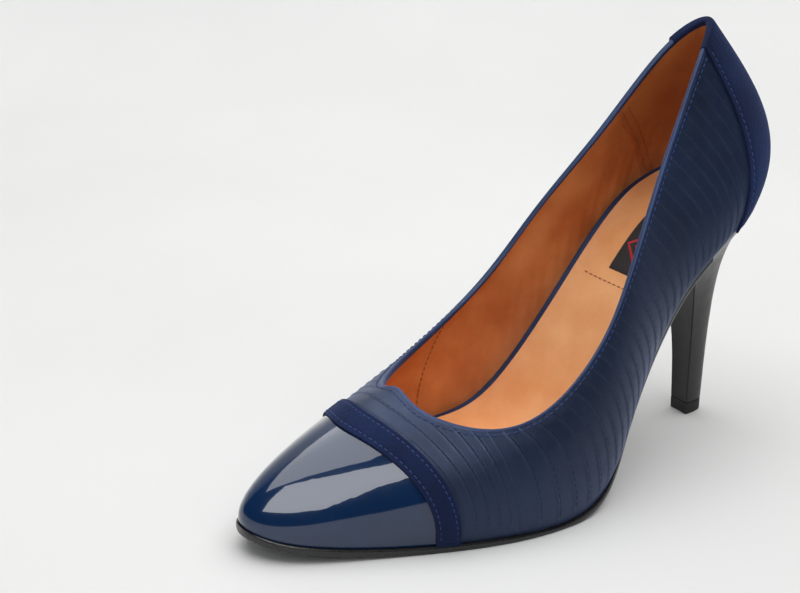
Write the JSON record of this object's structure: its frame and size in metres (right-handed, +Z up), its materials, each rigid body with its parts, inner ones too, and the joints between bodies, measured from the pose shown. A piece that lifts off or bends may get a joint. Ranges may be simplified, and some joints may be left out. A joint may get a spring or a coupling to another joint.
{
  "type": "high heel pump",
  "caption": "High heel pump: patent toe cap, suede band and counter, pintucked leather upper, tan lining, slim lacquered heel with a pull-out top piece.",
  "frame": {"origin": "middle of the shoe's box in plan, on the ground it stands on", "axes": "+Z up, -Y towards the toe, +X towards the outer side of this left shoe"},
  "size_m": [0.0886, 0.2234, 0.1559],
  "materials": {
    "patent": "gloss",
    "suede": "matt nap",
    "navy_leather": "satin",
    "binding": "satin",
    "lining": "matt",
    "sock_leather": "matt",
    "outsole": "satin",
    "heel_lacquer": "gloss",
    "top_piece_rubber": "matt",
    "steel": "satin",
    "brass": "satin",
    "board": "matt",
    "cork": "matt",
    "foam": "matt",
    "label": "woven",
    "stiffener": "matt"
  },
  "bodies": {
    "shoe": {"outsole": "outsole", "heel_block": "heel_lacquer", "heel_dowel": "steel", "heel_screw": "steel", "heel_nails": "steel", "shank": "steel", "shank_rivets": "brass", "insole_board": "board", "shank_board": "board", "bottom_filler": "cork", "insole_rim": "navy_leather", "ball_pad": "foam", "heel_pad": "foam", "sock": "sock_leather", "sock_label": "label", "toe_cap": "patent", "suede_band": "suede", "vamp": "navy_leather", "inner_quarter": "navy_leather", "counter_cover": "suede", "toe_puff": "stiffener", "heel_counter": "stiffener", "vamp_lining": "lining", "outer_quarter_lining": "lining", "inner_quarter_lining": "lining", "heel_grip": "lining", "topline_binding": "binding"},
    "tip": {"top_piece": "top_piece_rubber", "top_piece_pin": "steel"}
  },
  "joints": [
    {"name": "top_piece_pull", "type": "slide", "parent": "shoe", "child": "tip", "axis": [0, 0, -1], "range_m": [0, 0.016]}
  ]
}
